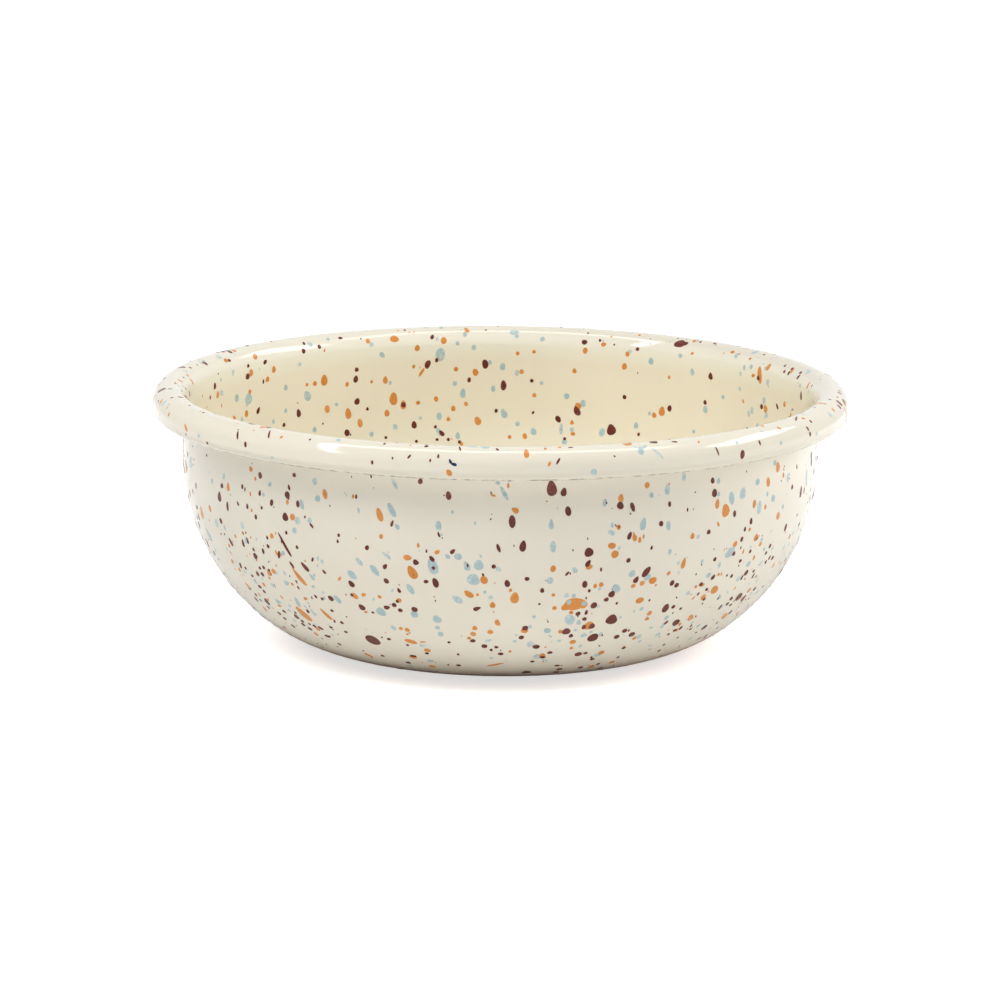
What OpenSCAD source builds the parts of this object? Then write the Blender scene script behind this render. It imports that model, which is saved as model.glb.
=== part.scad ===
// Enamelled steel bowl with a rolled rim and flicked drops of coloured enamel.
// The bowl stands on the XY plane with its axis on Z. All sizes are in millimetres.

/* [Bowl] */
// Diameter over the rolled rim
rim_d = 160; // [157:0.5:163]
// Height from the table to the top of the rim
height = 60; // [56:0.5:72]
// Outside diameter of the straight wall under the rim
body_d = 146; // [144:0.5:148]
// Diameter of the flat foot
foot_d = 68; // [64:0.5:72]
// Radius of the curve in which the wall turns inwards
belly_r = 46.5; // [44:0.5:50]
// Radius of the curve that runs on to the foot
base_r = 34.6; // [30:0.1:35]

/* [Steel and enamel] */
// Thickness of the steel sheet
steel_t = 0.7; // [0.5:0.05:0.9]
// Thickness of the dark ground coat on each face
ground_t = 0.12; // [0.08:0.01:0.16]
// Thickness of the cream cover coat on each face
cover_t = 0.16; // [0.12:0.01:0.22]

/* [Foot] */
// How far the middle of the base is pressed up
base_lift = 0.8; // [0.4:0.1:1.2]
// Width of the ring that the bowl stands on
ring_w = 4.7; // [3:0.1:7]

/* [Splatter] */
// Width of a large drop
drop_w = 2.4; // [1.6:0.1:3]
// Thickness of a drop in its middle
drop_t = 0.08; // [0.05:0.01:0.12]
// Drops of each colour scattered over the outside's back and underneath
drops_outside = 48; // [20:1:80]
// Drops of each colour scattered over the floor, the near inner wall and the back of the rim
drops_inside = 42; // [20:1:70]
// Number that settles where the scattered drops fall
splatter = 7; // [1:1:99]

/* [Hidden] */

// Depths through the wall, counted from the finished outside
ground_from = cover_t;
steel_from = ground_from + ground_t;
steel_to = steel_from + steel_t;
ground_to = steel_to + ground_t;
wall_t = ground_to + cover_t;

// The body: the straight wall, the belly curve and the base curve run into each other
rim_r = rim_d / 2;
body_r = body_d / 2;
foot_r = foot_d / 2;
turn = acos((belly_r - body_r + foot_r) / (belly_r - base_r));
straight_z = belly_r * sin(turn) + base_r * (1 - sin(turn));

// The rolled rim: a half round over the top, a short drop, a tight corner and a flat underside
roll_r = (rim_r - body_r + wall_t) / 2;
tightest_bend = 0.4;
corner_r = max(0.55 * roll_r, wall_t + tightest_bend);
roll_drop = 0.15 * roll_r;
roll_z = height - roll_r;
corner_z = roll_z - roll_drop;
seam_z = corner_z - corner_r;
// Gap between the cut edge of the sheet and the wall
edge_gap = 0.35;

// The pressed-up middle of the base, reached by two equal curves
press_r = 4;
press = acos(1 - base_lift / (2 * press_r));
ring_in_r = foot_r - ring_w;
lift_r = ring_in_r - 2 * press_r * sin(press);

// A round stretch of the sheet, as points with the direction through the wall from outside to inside
function bend(centre_r, centre_z, r, from, to, steps, side, first = 0) = [
    for (k = [first:steps])
        let (a = from + (to - from) * k / steps)
        [centre_r + r * cos(a), centre_z + r * sin(a), side * cos(a), side * sin(a)]
];

// The finished outside of the sheet from the middle of the base to its cut edge under the rim
base_path = concat(
    [[0, base_lift, 0, 1]],
    bend(lift_r, base_lift - press_r, press_r, 90, 90 - press, 3, 1),
    bend(ring_in_r, press_r, press_r, -90 - press, -90, 3, -1, 1)
);
wall_path = concat(
    bend(foot_r, base_r, base_r, -90, -turn, 8, -1),
    bend(body_r - belly_r, straight_z, belly_r, -turn, 0, 10, -1, 1),
    [[body_r, seam_z + wall_t, -1, 0]]
);
roll_steps = 12;
roll_path = concat(
    bend(rim_r - roll_r, roll_z, roll_r - wall_t, 180, 0, roll_steps, 1),
    bend(rim_r - corner_r, corner_z, corner_r - wall_t, 0, -90, 6, 1),
    [[body_r + edge_gap, seam_z + wall_t, 0, -1]]
);
outside_path = concat(base_path, wall_path);
sheet_path = concat(outside_path, roll_path);
// The cream coat runs on past the cut edge and closes the seam against the wall
closed_path = concat(sheet_path, [[body_r, seam_z + wall_t, 0, -1]]);

// The line at one depth through the wall
function at_depth(path, depth) = [
    for (p = path) [p[0] + depth * p[2], p[1] + depth * p[3]]
];

function backwards(list) = [for (i = [len(list) - 1:-1:0]) list[i]];

module turned_layer(path, from, to) {
    rotate_extrude($fn = 120)
        polygon(concat(at_depth(path, from), backwards(at_depth(path, to))));
}

// Distance along a line of points, up to each point
function run(line) =
    let (steps = [for (i = [1:len(line) - 1]) norm(line[i] - line[i - 1])])
    [for (i = 0, s = 0; i <= len(steps); s = s + (i < len(steps) ? steps[i] : 0), i = i + 1) s];

// One finished face of the bowl: distances along it, its line, and the way that it faces
function make_face(path, depth, side) =
    let (line = at_depth(path, depth), along = run(line), last = len(line) - 1)
    [
        [for (i = [0:last]) [along[i], line[i][0]]],
        [for (i = [0:last]) [along[i], line[i][1]]],
        [for (i = [0:last]) [along[i], side * path[i][2]]],
        [for (i = [0:last]) [along[i], side * path[i][3]]],
        side
    ];
outside_face = make_face(outside_path, 0, -1);
inside_face = make_face(sheet_path, wall_t, 1);

// Distance along a face to one point of its path
function reach(face, i) = face[0][i][0];

// A point on a face, a height above it
function on_face(face, s, turn_by, lift) =
    let (r = lookup(s, face[0]) + lift * lookup(s, face[2]))
    [r * cos(turn_by), r * sin(turn_by), lookup(s, face[1]) + lift * lookup(s, face[3])];

// Share of a surface that looks up or down, 1 on the floor and 0 on the upright wall
function level(face, s) = abs(lookup(s, face[3]));

// Corners round a drop, and how much narrower its upper end is than its lower
drop_sides = 8;
drop_taper = 0.2;

// A drop is [place along the face, turn about the axis, half length, half width, lean to the right].
// Its edge lies on the face and its middle stands proud.
function drop_points(face, drop) = concat(
    [
        for (k = [0:drop_sides - 1])
            let (
                a = 360 * k / drop_sides,
                lean = -face[4] * drop[4],
                along = drop[2] * sin(a),
                across = drop[3] * cos(a) * (1 - drop_taper * sin(a)),
                s = drop[0] + along * cos(lean) - across * sin(lean),
                aside = along * sin(lean) + across * cos(lean)
            )
            on_face(face, s, drop[1] + aside / lookup(s, face[0]) * 180 / PI, 0)
    ],
    [on_face(face, drop[0], drop[1], drop_t), on_face(face, drop[0], drop[1], 0)]
);

function drop_faces(first, side) = [
    for (k = [0:drop_sides - 1])
        let (a = first + k, b = first + (k + 1) % drop_sides, top = first + drop_sides)
        each side < 0 ? [[top, b, a], [top + 1, a, b]] : [[top, a, b], [top + 1, b, a]]
];

module fused_drops(face, drops) {
    polyhedron(
        [for (drop = drops) each drop_points(face, drop)],
        [for (i = [0:len(drops) - 1]) each drop_faces(i * (drop_sides + 2), face[4])]
    );
}

// Places along the faces: the foot's edge and the seam outside, the rim's top and its lower bend inside
foot_s = reach(outside_face, len(base_path));
seam_s = reach(outside_face, len(outside_path) - 1) - wall_t;
top_s = reach(inside_face, len(outside_path) + roll_steps / 2);
under_s = reach(inside_face, len(sheet_path) - 2);

// The front of the bowl looks along -Y, and turns are counted from it, to the right
front_turn = -90;

// The drops on the side that is looked at were set one by one. Each is [turn from the front, percent of the
// way down, length, width, lean], with a lean above 0 where its upper end leans to the right and no fifth
// number where it is upright. Sizes are for this width of a large drop.
drawn_w = 2.4;
// They were set with the bowl leaning this many degrees to its left, and are put upright again by it
set_lean = 0.94;

// On the outside wall, percents run from the seam under the rim to the edge of the foot
blue_outside = [
    [-62, 11.3, 1.4, 1], [-62, 24.5, 2.2, 2], [-59, 25, 1.5, 0.9], [-57.5, 8.5, 1.6, 1.2],
    [-56.6, 39.3, 1, 1], [-56.3, 50.3, 1.2, 1], [-54, 42.1, 1.5, 1.4], [-52.4, 22.3, 1.9, 1.2],
    [-52, 27, 2, 1.3, 15], [-49.4, 48.4, 2, 1.5, 80], [-48.3, 41.5, 1.1, 1.1], [-47.3, 51.5, 1.2, 1.1],
    [-45.6, 11, 1, 0.8], [-44, 7.4, 1.3, 1, 15], [-43.6, 39.3, 1.8, 1.5, 80], [-42.1, 28.4, 1.1, 1.1],
    [-39.6, 50.3, 1.3, 1.2], [-38.5, 20.3, 1.6, 1.3, 25], [-37.6, 17, 1.8, 1.5, 15],
    [-36.8, 38.8, 0.9, 0.9], [-36.5, 11.9, 2.5, 1, -15], [-35.7, 34.4, 0.9, 0.8],
    [-34.9, 16.4, 1.4, 1.2, 15], [-33.7, 4.3, 1.7, 1.4, 30], [-33.2, 29.2, 1.3, 0.9, 25],
    [-33.1, 9.4, 1.6, 1.5, 25], [-31.9, 42.4, 2.5, 1.5, -30], [-27.3, 32.5, 2.8, 1.7, -35],
    [-25.4, 27.8, 2.4, 1.1, -35], [-23, 45.5, 2.6, 2.4], [-22.6, 30.2, 3, 1.6, -35], [-22.6, 75, 1.6, 1.6],
    [-21.4, 52.1, 1.9, 1.4, -15], [-20, 25.1, 2.6, 0.9, -50], [-18.8, 10.8, 3.7, 1.4, -28],
    [-18.3, 2.9, 2.9, 0.9, -28], [-17.8, 15.8, 1.5, 1, -30], [-16.3, 59.9, 1.6, 1.3, 80],
    [-16.2, 35.9, 2.9, 1.4, -25], [-16.2, 45.5, 2.3, 1.8], [-16, 69.4, 1.6, 1.4, 90],
    [-12.1, 50.7, 1.3, 1.2], [-11.9, 47, 2.5, 2, -15], [-11.7, 27.8, 4.2, 2.3, -15],
    [-11.7, 53.6, 1.7, 1.4], [-10.5, 14.9, 2.2, 1.4, -10], [-9, 24.4, 1.4, 1, -40], [-8.1, 10.7, 1, 0.6],
    [-7.6, 39.1, 2.8, 1.7, -50], [-7.2, 24.4, 1.7, 1.7], [-5.7, 27.4, 2.3, 1.5, -15],
    [-4.6, 31.8, 3, 2.9], [-4.2, 14, 1, 0.6], [-3.6, 27, 2.6, 2.2], [-2.6, 36.2, 1, 0.7],
    [-2.1, 56.2, 1.8, 0.9, 55], [-1.7, 66.1, 1, 1], [-1.5, 38.2, 1.2, 1.1], [-0.4, 1.8, 1.1, 1],
    [-0.2, 28.3, 1.5, 1.1, -45], [0.7, 5, 3.7, 1, -28], [3.3, 56.6, 1.2, 1.1], [6, 50.1, 1.4, 1.1],
    [6.5, 58.3, 2.3, 1.9], [6.6, 45.9, 1, 0.9, -50], [8.4, 65.5, 2.4, 1.7], [8.8, 14.7, 2.4, 1.2],
    [9, 32.6, 1.9, 1.5], [9.2, 21.6, 2.8, 1.4], [9.5, 52, 1.9, 1.6, -45], [10.3, 67.9, 1, 0.8, 80],
    [12.3, 38.2, 1.3, 1.2], [12.4, 57.2, 1, 0.9], [13.3, 29.5, 1.7, 1.2, -40], [13.6, 38.5, 1.2, 1],
    [13.6, 47.8, 3.5, 2.3, -20], [15.2, 52.5, 1, 0.9], [15.5, 49.2, 1.7, 1.1], [17.3, 55.2, 1.6, 1.5],
    [17.4, 60.7, 1.1, 1], [18.2, 9.2, 1.9, 1, 10], [18.3, 36.6, 1, 0.9], [18.7, 54, 0.9, 0.9],
    [19.5, 18.4, 1.8, 1.2, -60], [20.9, 55.4, 1.4, 1.3], [21.1, 23.4, 1, 0.8], [21.5, 37, 2.5, 2.1, -30],
    [22.6, 67.3, 1.9, 1.6, 90], [23.4, 79, 2.6, 1.2], [23.9, 48.5, 0.9, 0.7], [24.2, 32.3, 2, 1.6, 30],
    [25.4, 16.7, 3, 1.5, 10], [26.9, 8.2, 1.3, 1.1], [27.5, 34.2, 1.9, 1.5, 40], [28, 46, 1.2, 1.1],
    [30, 7, 2.7, 1.5, 5], [30.4, 18.1, 2.3, 1.2, -10], [30.4, 59, 1.8, 1.5], [31.2, 26.5, 1.5, 1],
    [31.5, 61.7, 1.1, 0.8], [32.3, 55.2, 1, 0.8, 80], [33.4, 4, 2.1, 1.1], [33.5, 30.8, 1, 0.9],
    [34, 34, 1, 0.8], [35, 51.5, 1.5, 1.3], [35.1, 55.7, 1.1, 1.1], [35.4, 59.6, 1.7, 1.6],
    [37, 23, 1.1, 1], [37.8, 42.4, 1.3, 1.2], [38.2, 1.9, 1.3, 1.1, 80], [38.9, 31.5, 1, 0.9, 30],
    [41.1, 6.9, 1.5, 1], [41.2, 11, 1.2, 0.9], [41.5, 37, 1.5, 1.4], [43.5, 56.5, 1.1, 0.9],
    [44.4, 13, 3.1, 1.8, -10], [45.5, 30.5, 2.9, 2.2, 20], [46.7, 59.3, 1.4, 1.3], [47.3, 12.3, 2.9, 2, 15],
    [50.5, 52.1, 1.3, 1.2], [51, 41.3, 1.8, 1.5], [51.4, 10, 1.6, 1.6], [52.2, 18, 3.1, 2],
    [52.5, 36.6, 1.7, 1.5, 10], [54.5, 14.6, 1.2, 0.8], [54.6, 29, 1, 0.9], [56.5, 16.5, 1.8, 1.7],
    [56.5, 32.8, 1.1, 1], [56.8, 5.8, 1.4, 1.3], [60, 33.5, 1.2, 1], [60.5, 20.5, 1.2, 1],
    [61.8, 12, 2.3, 1.1], [71.5, 15, 4.5, 1.5]
];
ochre_outside = [
    [-64, 20.5, 1.8, 1.4], [-60.2, 36.8, 1.2, 1.2], [-59, 31, 1, 0.9], [-58.6, 39.3, 1.1, 1.1],
    [-58.2, 54.8, 2, 1.2], [-56, 11.3, 2.2, 1.2], [-55.5, 26.7, 1, 0.8], [-53.2, 48.9, 1.4, 0.8, 60],
    [-52.6, 24.9, 0.9, 0.8], [-51.3, 42.3, 1.3, 1.2], [-49.9, 50.3, 1.6, 0.9, 80], [-49, 4, 1.3, 1.3],
    [-49, 16.6, 1, 0.7], [-48.3, 38.9, 0.8, 0.8], [-47.8, 6.6, 1, 0.8], [-47.7, 36.8, 1.9, 1.5],
    [-46.2, 35.8, 1.5, 1.4], [-44.3, 23.4, 1.5, 1.2], [-44, 61.5, 1.6, 1.2], [-43.1, 51.5, 5.1, 2.3, -35],
    [-42.1, 39.3, 1, 0.9], [-41.8, 58, 1.6, 1.4], [-40, 44.2, 1.3, 0.9, 80], [-39.8, 11.9, 1.2, 0.9],
    [-39.5, 36.2, 5, 1.3, -33], [-38.7, 16.2, 1.6, 1.6], [-36.4, 49.6, 4.2, 1.1, -30],
    [-32.4, 70, 2.5, 1.2, -30], [-31.6, 7.8, 2.3, 1.3, -15], [-30.1, 34.4, 1.5, 0.7, 38],
    [-27.7, 40.2, 1.9, 1.4, -20], [-26.3, 46.2, 1.1, 0.6, 75], [-25.7, 39.4, 1.3, 1, 50],
    [-22.5, 39.6, 1, 1], [-21, 12.5, 3.3, 1.5, -20], [-20.8, 19.1, 1.2, 1, 20], [-19.9, 67.6, 2.1, 1.7, 90],
    [-19.8, 52.1, 1.2, 1], [-18.8, 54.6, 0.8, 0.7], [-18.7, 40.4, 1.3, 1.2], [-18.6, 58.2, 3.2, 1.5, -70],
    [-18.5, 52.5, 1.5, 1.2], [-16.5, 74.1, 1.7, 1.7], [-16.2, 25.3, 2, 1.4, 80], [-15.9, 58, 1.6, 0.6, 75],
    [-15.6, 62.5, 1.7, 1.6], [-15.5, 30.1, 3.6, 2.1, -25], [-10.8, 23.1, 1.5, 0.9, 60],
    [-6, 55.1, 1.1, 1], [-5.5, 37, 2.6, 1.5, -45], [-5.1, 53.1, 1.6, 1.4], [-4.7, 50.4, 1.5, 1.2],
    [-3.9, 37.2, 0.8, 0.8], [-2.7, 32, 2.2, 1.7, -15], [-1.7, 52.1, 1.6, 1.3], [-1.2, 41, 1.8, 1.3],
    [-0.8, 70.6, 4.5, 0.8, 62], [-0.3, 48, 2.1, 1.2, -10], [2, 35.6, 1, 0.8], [2.4, 62, 1, 0.7],
    [2.6, 10.2, 1.9, 1.2, -60], [2.8, 38.4, 3.1, 2, -5], [5, 51.5, 2.1, 1.7], [9.4, 28.7, 1.7, 1.3],
    [9.6, 65, 2, 1.5], [9.8, 37.8, 0.9, 0.9], [10.3, 42.7, 1.2, 1.1], [12.2, 52.8, 1.4, 1],
    [13.6, 44.8, 1.1, 1], [14.1, 41.6, 5.2, 3.4, 90], [15.4, 58.2, 1.7, 1.5], [15.6, 61.6, 1, 1],
    [15.9, 28.8, 1.7, 1.2, 80], [17.4, 35.5, 1.3, 0.9], [17.8, 50.9, 2.8, 2.5], [18.5, 35.1, 1.3, 1.1],
    [19.7, 22.5, 2, 1.5, -70], [20.4, 25.3, 2, 1.8], [20.8, 16.9, 1.3, 1], [21.1, 8.2, 1.9, 1.4, 5],
    [23.3, 65.8, 1.9, 1.5], [23.8, 76.5, 2.2, 1.6], [23.9, 20.7, 1.8, 1.1, -15], [24.9, 21.5, 1.5, 0.8],
    [24.9, 36.7, 1.2, 1.2], [25.6, 20.5, 1.1, 0.5], [26, 5.1, 1.5, 1.3], [26.6, 36.1, 1.4, 1.3, 30],
    [27, 42.5, 2.2, 1.7, 80], [28.7, 35.6, 2, 1.9, 40], [28.7, 74.3, 1.8, 1.4], [29.5, 59.5, 1.4, 1],
    [30.2, 48.3, 1.5, 1.3], [30.2, 50.7, 1.1, 1.1], [31.8, 33.8, 1.2, 1, 20], [35.7, 22.5, 1.5, 1.2],
    [40.8, 40.3, 1.3, 1, 80], [40.9, 13.9, 2.3, 1.3], [41.9, 53.7, 2.3, 1.6, -25], [42.4, 45.4, 1.8, 1.6],
    [43, 16.4, 3.3, 2.3, -12], [44.2, 37.6, 0.8, 0.8], [44.7, 43.3, 2.7, 2.2, -30], [46.6, 28, 1.6, 1.4, 15],
    [50, 24.3, 1, 0.8], [50.6, 16.5, 2, 1.2, 5], [52.5, 27.7, 1.9, 1.5], [54.1, 18.5, 1.3, 0.9],
    [54.5, 30.5, 1.2, 1.2, 10], [54.7, 11, 2.4, 1.4, -5], [54.9, 57.9, 2.4, 1.8, -30],
    [57.9, 7.4, 2.6, 1.7, -5], [58, 48.3, 1.6, 1.3], [59, 22.8, 2, 1.5], [60, 10.5, 1.3, 0.8]
];
brown_outside = [
    [-60, 23.2, 1.5, 1.2, -10], [-59.3, 15.3, 2.5, 1.6], [-59, 51, 1.5, 1.3], [-58.2, 11.6, 1.3, 1.2],
    [-57.4, 48.5, 1.1, 1.1], [-56.6, 17.5, 2.3, 1], [-55.6, 37.7, 0.9, 0.9], [-55.6, 53.2, 1, 1],
    [-54.2, 40, 1, 0.8, 80], [-54.2, 50.1, 2.2, 1.8], [-53.3, 43.8, 1.5, 1, -80], [-52.6, 45.4, 1.2, 1],
    [-52.4, 54.6, 1.4, 1.1, 80], [-51.8, 38.4, 1.4, 1.2], [-51.8, 56.8, 1.4, 1, 80], [-51.5, 10, 1.2, 0.9],
    [-51, 60.1, 1.4, 1.2], [-50.4, 29.6, 1, 0.8, -20], [-50.4, 31.8, 1.6, 1.6], [-50.2, 15.7, 1.3, 0.8, -10],
    [-50.2, 35.9, 0.9, 0.9], [-50.2, 38.1, 1.2, 1.2], [-49.6, 52.7, 1.2, 1.2], [-48.9, 35.3, 1, 1],
    [-48, 18.4, 1.3, 0.9, 10], [-47.5, 35.8, 0.8, 0.8], [-46.6, 10.7, 1.4, 0.9, 15],
    [-46.5, 5.3, 1.7, 1.2, -10],
    [-46.2, 15.1, 0.8, 0.8], [-46.2, 53.7, 1.8, 1.5], [-45.9, 57.3, 1.4, 1.2], [-45.8, 27.2, 1, 1],
    [-45.6, 24.3, 1, 0.7], [-45.6, 51.8, 0.8, 0.8], [-45.2, 55.5, 1.1, 1.1], [-44.6, 59, 1.4, 1.2, -45],
    [-43.6, 12.9, 1.6, 1.1, 15], [-43.4, 56.2, 0.9, 0.8], [-42.2, 56.8, 1.1, 1.1],
    [-41.3, 25.7, 6.8, 0.8, -29],
    [-41.2, 49.7, 1.2, 1], [-40.6, 32, 1.9, 0.7, -35], [-40.6, 57.2, 1.6, 1.1, -40], [-40.5, 21.4, 1, 0.7],
    [-40.4, 16.5, 2, 1.8], [-40.3, 61.3, 1.9, 1.2, 80], [-39.8, 9.7, 1.8, 1.5], [-39.4, 7.3, 1.3, 0.7, -15],
    [-38.4, 25.6, 1, 0.8], [-38.2, 3.3, 1.1, 1], [-37.4, 11.9, 1.7, 1, -5], [-37.4, 32, 2.8, 1.2, -38],
    [-37.1, 55.7, 1, 1], [-35.6, 43.1, 0.9, 0.8], [-34.7, 17.8, 1.1, 0.5, -35], [-34.3, 47.5, 0.9, 0.9],
    [-33.6, 56.9, 1.1, 0.9, 80], [-33.4, 42.4, 1.7, 1.4, -50], [-33.3, 52.4, 1, 1],
    [-33.2, 32.7, 1.3, 0.7, -40], [-29.3, 21.9, 0.9, 0.6], [-29, 19.9, 0.9, 0.7], [-28.3, 39.9, 1, 0.8],
    [-28.1, 68.9, 1.1, 1], [-27.8, 35.8, 1.9, 1.4, -35], [-27.7, 59.5, 3.9, 3.5, -20],
    [-26.9, 44.4, 1.9, 1.6, -45], [-25.4, 7.6, 1.1, 0.6, 5], [-24.8, 46.1, 0.8, 0.7, 80],
    [-23.6, 23, 1.3, 1, 15], [-23.5, 57.9, 1.1, 0.9, 80], [-22.4, 72.4, 1.3, 1.3],
    [-21.5, 43.5, 1.6, 1.2, 75],
    [-20.6, 33.6, 1.5, 1.2, -30], [-20.5, 28.7, 1.5, 1, 40], [-19.9, 42.3, 1.4, 1.1, 20],
    [-19.7, 60.3, 0.8, 0.8], [-19.7, 66.8, 1.6, 1.1, 90], [-19.1, 40.7, 1, 0.8], [-18.9, 44.2, 1.2, 1.1],
    [-18.4, 36.7, 1.4, 0.8, -25], [-16, 43.5, 1.6, 1.5], [-16, 64.4, 1, 1], [-14.7, 26.7, 1.4, 1.4],
    [-13.7, 1.8, 1.4, 1.1], [-13.1, 33, 1.2, 0.9, 80], [-11.8, 25.3, 1.6, 1, -35], [-11.6, 28.3, 0.9, 0.9],
    [-11.4, 33.3, 2.5, 1.5, -12], [-10.3, 57.5, 0.8, 0.8], [-9.6, 71.8, 1.2, 1.2], [-8.9, 64.1, 1, 0.6],
    [-8.8, 5.8, 2, 1.3, -10], [-8.1, 22.8, 1.5, 0.9, 45], [-5.3, 56.4, 1.3, 1.2], [-4.1, 42.4, 1.9, 1.1, 65],
    [-3, 59.1, 1.5, 1.4], [-1, 27.5, 1.1, 1], [-0.5, 59.6, 1, 1], [-0.2, 21.6, 2.2, 0.8, -15],
    [0.4, 63.4, 1.3, 1.3], [1.4, 33.2, 1.9, 1.3, -15], [1.6, 1.2, 1, 0.6, 90], [2.1, 13.5, 3.1, 1.5],
    [4, 21.1, 2.7, 1.5, 3], [4.5, 54.8, 1.4, 1.3], [4.9, 31.8, 1.1, 1.1], [5.1, 50.6, 1.6, 1.5],
    [7.2, 78.3, 2.4, 2.1], [7.7, 36, 1.3, 1], [7.7, 68.7, 1, 1], [7.8, 59.8, 1.7, 1.7],
    [8.8, 3.9, 3.6, 2.3, -5], [9.7, 66, 1.3, 1.3], [10.9, 5.2, 2, 1.4], [11.1, 63.4, 1.3, 1.2],
    [11.7, 11, 2.3, 1.4, -10], [13.4, 52.8, 2.2, 2], [14.1, 72.8, 1.3, 1.1, 90], [14.6, 55, 1.3, 1.1],
    [15, 45.5, 1.3, 1.2], [15.3, 80.3, 1.8, 1.4], [15.4, 34.6, 1.9, 1.3, -10], [15.4, 76.5, 1.5, 1.5],
    [15.6, 24, 2.4, 2], [15.6, 27.6, 1.9, 1.1, 30], [16.4, 37, 1, 0.7], [16.5, 47.9, 1.2, 1.1],
    [16.8, 51.4, 1.5, 1.1], [17.8, 42.6, 1.8, 1.6], [17.8, 65.5, 1.9, 1.8], [18.4, 51.2, 1.8, 1.6],
    [19.4, 65.2, 1.1, 1], [19.5, 56.8, 3, 2.6, 15], [20, 40.8, 1.2, 1.2], [20.9, 38.9, 1.9, 1.6, 20],
    [20.9, 76.4, 1.5, 1.3], [21, 10.4, 1.8, 1.7], [22.1, 69.8, 1.2, 1.2], [22.2, 49.1, 3.1, 2.9],
    [22.9, 19.9, 2, 1, 15], [23.1, 27.7, 1.3, 1, 25], [23.3, 11.2, 2.2, 1.1, -22], [24.9, 57.6, 1.5, 1.5],
    [25, 74.5, 1.3, 0.9], [25.2, 34.6, 1.8, 1.3, 25], [26.1, 55, 1.5, 1.3], [27, 32.3, 3, 1.6, 30],
    [27.9, 80.5, 2, 1.2], [28.3, 57.3, 1.8, 1.6], [28.4, 64.5, 1.1, 1.1], [28.9, 17.2, 1.4, 1.1],
    [28.9, 70.5, 1, 0.7], [30.5, 11.6, 1.4, 0.8], [33.1, 37.5, 1.6, 1.2, 10], [33.6, 47.2, 2.7, 1.8],
    [34.3, 38.6, 1.4, 1.2], [35.4, 47.1, 1.2, 1], [37.2, 1.7, 1.1, 0.6, 60], [38.4, 54.8, 2.4, 2],
    [38.5, 60.4, 0.8, 0.8], [39.3, 22.1, 1.2, 1.1], [39.6, 58.8, 1.2, 1], [39.7, 6.5, 1.5, 1.1, -5],
    [40.2, 10.4, 2, 1.6], [40.3, 39.9, 1.2, 1.1], [42, 31.7, 1.1, 1, 15], [42.4, 42.5, 0.9, 0.9],
    [42.9, 38.2, 1.5, 1.1, 25], [42.9, 46.3, 1, 0.9], [44.7, 60.1, 0.8, 0.8], [45.3, 18, 1.7, 1],
    [46.8, 31.2, 1.2, 1.1, 5], [48.2, 26.9, 1.3, 1, 5], [48.3, 39.4, 1.1, 0.9], [48.6, 23.8, 1.2, 0.8],
    [49.4, 34.5, 1, 1], [49.8, 61.3, 2, 1.6], [50.1, 21.7, 1.7, 1], [51.7, 32, 1, 1, 10],
    [51.9, 51.5, 1.1, 1.1], [52.1, 49.3, 1.2, 1.2], [52.9, 39.8, 1.7, 1.4, 10], [53.7, 52.6, 1.1, 0.8, 80],
    [55, 49.7, 2.6, 2.3], [55.5, 40.1, 1, 0.8, 80], [56.3, 56.8, 1.4, 1.1], [57.7, 51.2, 2, 1.3],
    [57.8, 34.6, 1, 1], [58.5, 32.5, 1.2, 1], [59.1, 38.2, 1, 1], [60.5, 48.7, 1.2, 1.1],
    [61.6, 37.7, 1.2, 1.2], [63.3, 28, 2.1, 1.2], [63.8, 15.4, 1.3, 0.9], [68.4, 18.5, 3, 1.3]
];

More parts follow.
